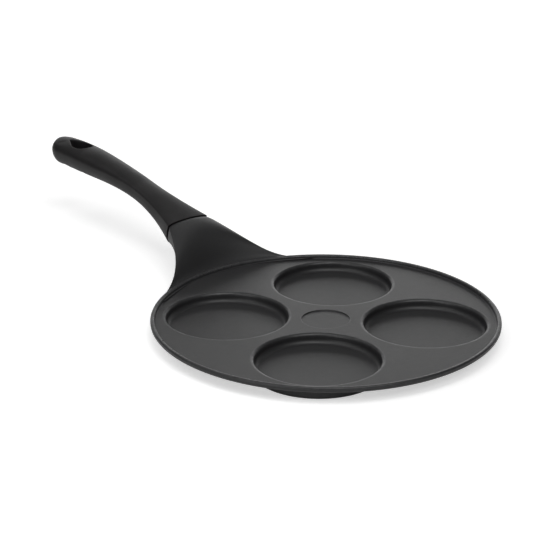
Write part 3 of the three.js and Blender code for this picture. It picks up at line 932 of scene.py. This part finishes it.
def slot_point(handle, distance, side, depth, upper):
    """Point a depth below the grip's upper face, or above its lower face."""
    half, above, below, corner, power = grip_size(handle, distance)
    narrow, low = end_shares(handle, distance)
    room = max(0.0, 1 - (side / half / narrow) ** 2)
    if upper:
        height = low * (corner + (above - corner) * math.sqrt(room)) - depth
    else:
        height = low * (corner - (below + corner) * room**power) + depth
    return on_grip(handle, distance, side, height)


def open_loop(bm, order, station, places, stations):
    """Deletes the faces in a patch and returns the edges round the hole."""
    faces = [
        face
        for face in bm.faces
        if all(vert[order] in places and vert[station] in stations for vert in face.verts)
    ]
    bmesh.ops.delete(bm, geom=faces, context="FACES")
    return [
        edge
        for edge in bm.edges
        if edge.is_boundary and all(vert[order] in places for vert in edge.verts)
    ]


def cut_slot(bm, handle, distances, first, last):
    """Opens the hanging slot through the grip, with rounded edges on both faces."""
    order = bm.verts.layers.int["order"]
    station = bm.verts.layers.int["station"]
    quarter, patch = GRIP_STEPS // 4, GRIP_STEPS // 8
    upper_places = range(quarter - patch, quarter + patch + 1)
    lower_places = range(3 * quarter - patch, 3 * quarter + patch + 1)
    stations = range(first, last + 1)
    edges = open_loop(bm, order, station, upper_places, stations)
    open_loop(bm, order, station, lower_places, stations)
    radius = handle.slot_width / 2
    start = handle.grip_length - handle.slot_end - handle.slot_length + radius
    taper = handle.slot_length - radius - handle.slot_side - handle.slot_tip
    lean = math.tan(math.asin((radius - handle.slot_tip) / taper))
    outline = {}
    for vert in {vert for edge in edges for vert in edge.verts}:
        along = distances[vert[station]] - start
        core = max(0.0, min(handle.slot_side, along))
        past = along - handle.slot_side - abs(vert.co.y) * lean
        part = min(1.0, max(0.0, past / taper))
        core += part * taper
        way = Vector((along - core, vert.co.y)).normalized()
        outline[vert[order], vert[station]] = (core, mix(radius, handle.slot_tip, part), way)

    def ring(offset, depth, upper):
        def place(vert):
            core, reach, way = outline[vert[order], vert[station]]
            spot = Vector((start + core, 0.0)) + way * (reach + offset)
            return slot_point(handle, spot.x, spot.y, depth, upper)

        return place

    rounded = handle.slot_round
    fillet = [(rounded * SLOT_STRIP, 0.0)]
    for i in range(SLOT_STEPS + 1):
        turned = math.radians(90 * i / SLOT_STEPS)
        fillet.append((rounded * (1 - math.sin(turned)), rounded * (1 - math.cos(turned))))
    walls = [(0.0, rounded * 2), (0.0, handle.bulge_crown)]
    for offset, depth in fillet + walls:
        edges = drag(bm, edges, ring(offset, depth, True))
    for offset, depth in reversed(fillet + walls[:1]):
        edges = drag(bm, edges, ring(offset, depth, False))
    drag(
        bm,
        edges,
        lambda vert: grip_point(handle, distances[vert[station]], GRIP_STEPS - vert[order]),
    )
    close(bm)


def grip_cage(handle):
    """Grip with its rounded end and hanging slot, in the seam's frame."""
    gap = handle.seam_gap
    slot_start = handle.grip_length - handle.slot_end - handle.slot_length - SLOT_MARGIN
    slot_end = handle.grip_length - handle.slot_end + SLOT_MARGIN
    end_start = handle.grip_length - handle.end_plan
    distances = [gap, gap, gap + SEAM_STRIP]
    distances += [mix(gap, slot_start, (i + 1) / GRIP_RINGS) for i in range(GRIP_RINGS)]
    first = len(distances) - 1
    distances += [mix(slot_start, slot_end, (i + 1) / SLOT_RINGS) for i in range(SLOT_RINGS)]
    last = len(distances) - 1
    for degrees in END_TURNS:
        distances.append(mix(end_start, handle.grip_length, math.sin(math.radians(degrees))))
    sections = [[grip_point(handle, d, i) for i in range(GRIP_STEPS)] for d in distances]
    sections[0] = [point.lerp(Vector((gap, 0, 0)), SEAM_FACE) for point in sections[0]]
    bm = bmesh.new()
    loft(bm, sections)
    cut_slot(bm, handle, distances, first, last)
    return bm


def bore_floor(handle):
    """Level of the counterbore's floor in the seam's frame."""
    return handle.tang_level - handle.tang_thickness / 2 - handle.grip_gap - BORE_WEB


class FOURCUP_OT_grip(Operator):
    """Models the moulded grip with its hanging slot, socket and screw hole"""

    bl_idname = "four_cup_pan.grip"
    bl_label = "Grip"

    def execute(self, context):
        settings = context.scene.four_cup_pan
        pan, handle = settings.pan, settings.handle
        gap = handle.grip_gap
        socket = bar(
            handle.tang_width + 2 * gap,
            handle.tang_thickness + 2 * gap,
            TANG_EDGE,
            handle.tang_level,
            -CUTTER_LEAD,
            handle.tang_length + gap,
        )
        floor, reach = bore_floor(handle), handle.screw_reach
        hole = rod(handle.screw_diameter / 2 + gap, floor - CUTTER_LEAD, handle.tang_level, reach)
        bore = rod(handle.bore_diameter / 2, -2 * handle.seam_depth, floor, reach, SCREW_STEPS)
        mesh = shaped(context, grip_cage(handle), levels=2, cutters=[socket, hole, bore])
        mesh.transform(handle_place(pan, handle))
        finish = phenolic_finish(settings.colours)
        show(context, "grip_moulding", mesh, finish, "handle_grip")
        return {"FINISHED"}


# Base discs and fixings


def disc_mesh(pan, centre):
    """Steel disc with holes for the cast pegs."""
    bm = bmesh.new()
    hole = pan.peg_diameter / 2 + pan.disc_gap
    rounds = [(centre, pan.disc_diameter / 2, CUP_STEPS)]
    rounds += [(place, hole, PEG_STEPS) for place in peg_places(pan, centre)]
    for place, radius, steps in rounds:
        matrix = Matrix.Translation((*place, 0.0))
        bmesh.ops.create_circle(bm, segments=steps, radius=radius, matrix=matrix)
    edges = list(bm.edges)
    made = bmesh.ops.triangle_fill(bm, edges=edges, use_beauty=True, normal=(0, 0, -1))["geom"]
    made = bmesh.ops.extrude_face_region(bm, geom=only(made, bmesh.types.BMFace))["geom"]
    raised = only(made, bmesh.types.BMVert)
    bmesh.ops.translate(bm, vec=(0, 0, pan.disc_thickness), verts=raised)
    bmesh.ops.recalc_face_normals(bm, faces=bm.faces)
    corners = [
        edge
        for edge in bm.edges
        if all(abs(vert.co.z) < MERGE for vert in edge.verts)
        and edge.calc_face_angle(0.0) > SHARP_ANGLE
    ]
    bevel(bm, corners, DISC_BEVEL, segments=2)
    spread = bm.loops.layers.uv.new("disc")
    for face in bm.faces:
        for corner in face.loops:
            corner[spread].uv = corner.vert.co.xy - Vector(centre)
    move(bm, pan_offset(pan))
    return mesh_of(bm, "base_disc")


class FOURCUP_OT_base_discs(Operator):
    """Models the turned steel disc in each cup's base"""

    bl_idname = "four_cup_pan.base_discs"
    bl_label = "Base discs"

    def execute(self, context):
        settings = context.scene.four_cup_pan
        finish = disc_finish(settings.colours)
        for name, centre in cup_places(settings.pan).items():
            mesh = disc_mesh(settings.pan, centre)
            show(context, f"turned_disc_{name}", mesh, finish, f"base_disc_{name}")
        return {"FINISHED"}


class FOURCUP_OT_fixings(Operator):
    """Models the handle screw, and finishes the washers and the thread insert"""

    bl_idname = "four_cup_pan.fixings"
    bl_label = "Fixings"

    def execute(self, context):
        settings = context.scene.four_cup_pan
        pan, handle = settings.pan, settings.handle
        plated = plated_finish("fixing_steel", settings.colours.fixing_steel, 0.30)
        brass = plated_finish("brass", settings.colours.brass, 0.32)
        seat = bore_floor(handle) - sum(WASHER_STACK.values())
        base = seat - handle.head_height
        tip = seat + handle.screw_length
        head = handle.head_diameter / 2
        shank = handle.screw_diameter / 2
        point = shank / 4
        dome = handle.head_height / 2.5
        profile = [
            (0.0, base, 0.0),
            (head - dome, base, 0.0),
            *arc(head - dome, base + dome, dome, -75, 0, 6),
            (head, seat - HEAD_CHAMFER, 0.0),
            (head - HEAD_CHAMFER, seat, 0.0),
            (shank, seat, 0.0),
            (shank, tip - point, 0.0),
            (shank - point, tip, 0.0),
            (0.0, tip, 0.0),
        ]
        blank = bmesh.new()
        add_mesh(blank, spun(profile, SCREW_STEPS))
        blades = []
        width = handle.drive_width
        for quarter in (0, 1):
            blade = bar(width / 5, 2 * handle.drive_depth, BLADE_EDGE, base, 0, width)
            move(blade, -width / 2)
            turned = Matrix.Rotation(quarter * math.pi / 2, 3, "Z")
            bmesh.ops.rotate(blade, matrix=turned, verts=blade.verts)
            blades.append(blade)
        mesh = shaped(context, blank, cutters=blades)
        along = Matrix.Translation((handle.screw_reach, 0, 0))
        mesh.transform(handle_place(pan, handle) @ along)
        show(context, "cross_head_screw", mesh, plated, "handle_screw")
        kept = {"flat_washer": plated, "spring_washer": plated, "thread_insert": brass}
        for name, finish in kept.items():
            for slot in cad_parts[name].material_slots:
                slot.material = finish
        return {"FINISHED"}


# Stage


def floor_finish(stage):
    """Pale floor that glows white for the camera, faintly in reflections, and keeps the shadow."""
    graph = Graph(bpy.data.materials.new("studio_floor"))
    rays = graph.node("ShaderNodeLightPath")
    mirrored = rays.output("Is Glossy Ray") + rays.output("Is Transmission Ray")
    seen = rays.output("Is Camera Ray") + mirrored * stage.floor_mirror
    away = graph.span(graph.place())
    near = opaque(WHITE, stage.floor_lift)
    far = opaque(WHITE, stage.floor_lift + stage.floor_far)
    glow = graph.blend(away.smooth(GLOW_NEAR, GLOW_FAR), near, far)
    paper = graph.node("ShaderNodeBsdfDiffuse", None, {"Color": opaque(stage.floor_colour)})
    lift = graph.node("ShaderNodeEmission", None, {"Color": glow, "Strength": seen})
    both = graph.node("ShaderNodeAddShader", None, {0: paper, 1: lift})
    graph.node("ShaderNodeOutputMaterial", None, {"Surface": both})
    return graph.owner


def light_room(world, stage):
    """White room for the camera, and a faint even light for the object."""
    graph = Graph(world)
    seen = graph.node("ShaderNodeLightPath").output("Is Camera Ray")
    level = seen + (1 - seen) * stage.world_level
    shader = graph.node("ShaderNodeBackground", None, {"Color": opaque(WHITE), "Strength": level})
    graph.node("ShaderNodeOutputWorld", None, {"Surface": shader})


def light_panel(context, stage, name):
    """Soft panel that faces the object."""
    *degrees, brightness = PANELS[name]
    azimuth, elevation, width, height = map(math.radians, degrees)
    level = math.cos(elevation)
    lamp = bpy.data.lights.new(name, "AREA")
    lamp.shape = "RECTANGLE"
    lamp.size = 2 * stage.panel_distance * level * math.tan(width / 2)
    lamp.size_y = 2 * stage.panel_distance * math.tan(height / 2)
    lamp.energy = math.pi * lamp.size * lamp.size_y * brightness * stage.panel_level
    obj = placed(context, name, lamp)
    way = Vector((level * math.cos(azimuth), level * math.sin(azimuth), math.sin(elevation)))
    obj.location = way * stage.panel_distance
    obj.rotation_euler = way.to_track_quat("Z", "Y").to_euler()
    obj.visible_camera = False


class FOURCUP_OT_stage(Operator):
    """Sets up floor, soft light and camera"""

    bl_idname = "four_cup_pan.stage"
    bl_label = "Stage"

    def execute(self, context):
        scene = context.scene
        stage = scene.four_cup_pan.stage
        scene.view_settings.view_transform = "Standard"
        bm = bmesh.new()
        bmesh.ops.create_circle(bm, cap_ends=True, segments=FLOOR_STEPS, radius=FLOOR_RADIUS)
        mesh = mesh_of(bm, "studio_floor")
        mesh.materials.append(floor_finish(stage))
        floor = placed(context, "studio_floor", mesh)
        scene.world = bpy.data.worlds.new("studio_room")
        light_room(scene.world, stage)
        for name in PANELS:
            light_panel(context, stage, name)
        camera = bpy.data.cameras.new("photo_camera")
        camera.sensor_fit = "HORIZONTAL"
        camera.sensor_width = SENSOR_WIDTH
        camera.lens = stage.camera_lens
        obj = placed(context, "photo_camera", camera)
        obj.location = stage.camera_place
        way = Vector(stage.camera_target) - Vector(stage.camera_place)
        obj.rotation_euler = way.to_track_quat("-Z", "Y").to_euler()
        scene.camera = obj
        return {"FINISHED"}


class FOURCUP_PT_panel(Panel):
    """Lists the steps in the order they run"""

    bl_idname = "FOURCUP_PT_panel"
    bl_label = "Four-cup pan"
    bl_space_type = "VIEW_3D"
    bl_region_type = "UI"
    bl_category = "Four-cup pan"

    def draw(self, context):
        for step in STEPS:
            self.layout.operator(step.bl_idname)
        settings = context.scene.four_cup_pan
        for group in (settings.pan, settings.handle, settings.colours, settings.stage):
            box = self.layout.box()
            for name in group.__annotations__:
                box.prop(group, name)


STEPS = (
    FOURCUP_OT_pan_casting,
    FOURCUP_OT_grip,
    FOURCUP_OT_base_discs,
    FOURCUP_OT_fixings,
    FOURCUP_OT_stage,
)
GROUPS = (PanSizes, HandleSizes, FinishColours, StageSettings, PanSettings)
CLASSES = (*GROUPS, *STEPS, FOURCUP_PT_panel)


def register():
    for cls in CLASSES:
        bpy.utils.register_class(cls)
    bpy.types.Scene.four_cup_pan = PointerProperty(type=PanSettings)


def unregister():
    del bpy.types.Scene.four_cup_pan
    for cls in reversed(CLASSES):
        bpy.utils.unregister_class(cls)


def main():
    register()
    bpy.ops.four_cup_pan.pan_casting()
    bpy.ops.four_cup_pan.grip()
    bpy.ops.four_cup_pan.base_discs()
    bpy.ops.four_cup_pan.fixings()
    bpy.ops.four_cup_pan.stage()


if __name__ == "__main__":
    main()
